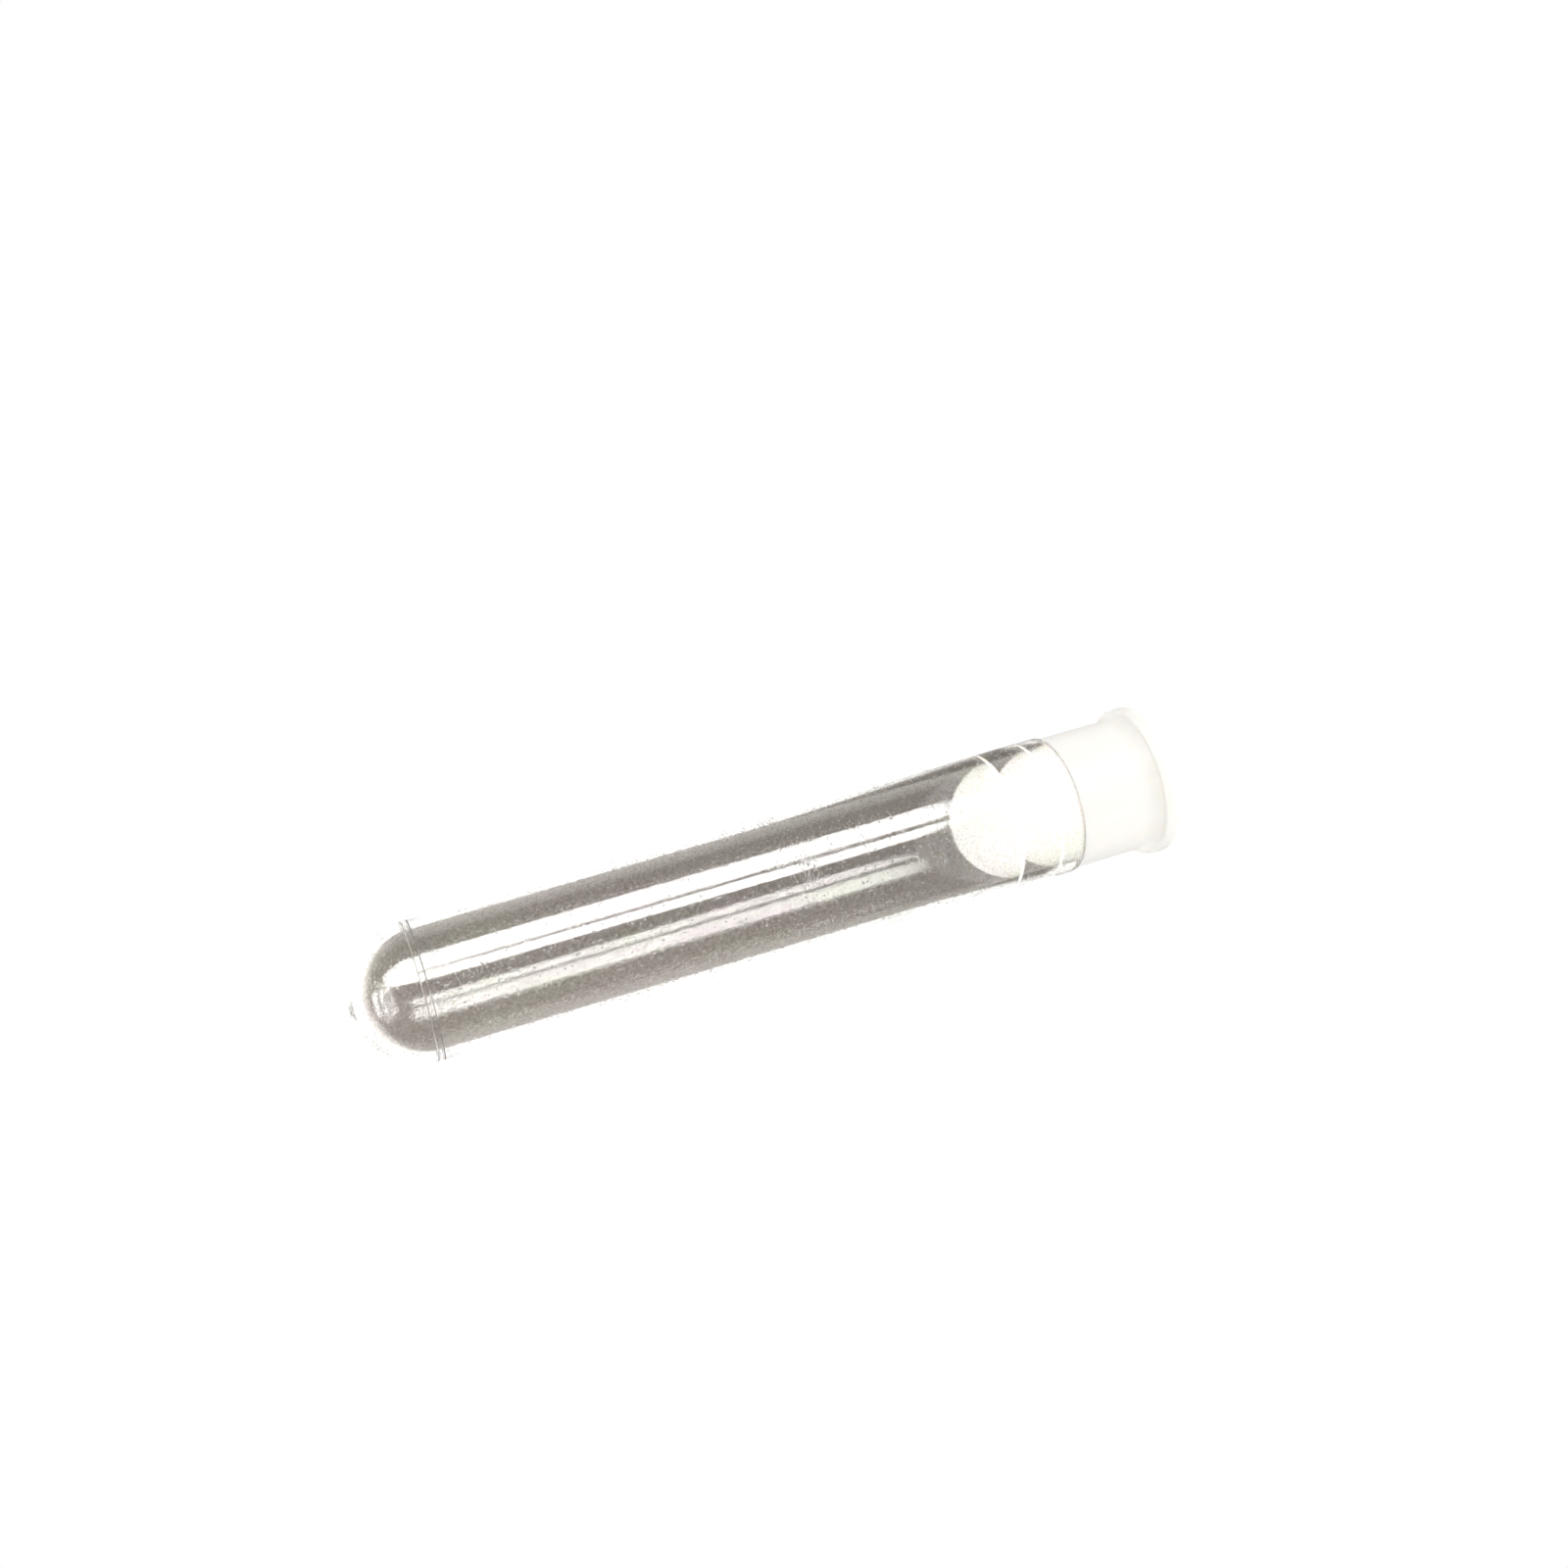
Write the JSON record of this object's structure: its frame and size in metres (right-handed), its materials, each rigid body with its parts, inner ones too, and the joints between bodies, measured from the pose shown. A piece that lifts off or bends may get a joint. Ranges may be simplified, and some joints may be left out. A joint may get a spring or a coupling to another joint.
{
  "type": "test tube",
  "caption": "Clear moulded round-bottom test tube with a hollow push-in stopper that has ring seals, a barrel and a flange.",
  "frame": {"origin": "lowest point of the round bottom, on the tube's axis", "axes": "+Z along the tube's axis, from the round bottom to the stopper; X and Y are free, as the part is round"},
  "size_m": [0.013, 0.013, 0.0698],
  "materials": {
    "clear_polystyrene": "clear, glossy moulded polystyrene with fine scuffs",
    "white_polyethylene": "milky translucent low-density polyethylene, soft satin"
  },
  "bodies": {
    "tube": {"tube": "clear_polystyrene"},
    "stopper": {"stopper": "white_polyethylene"}
  },
  "joints": [
    {"name": "stopper_pull", "type": "slide", "parent": "tube", "child": "stopper", "axis": [0, 0, 1], "range_m": [0, 0.025]}
  ]
}
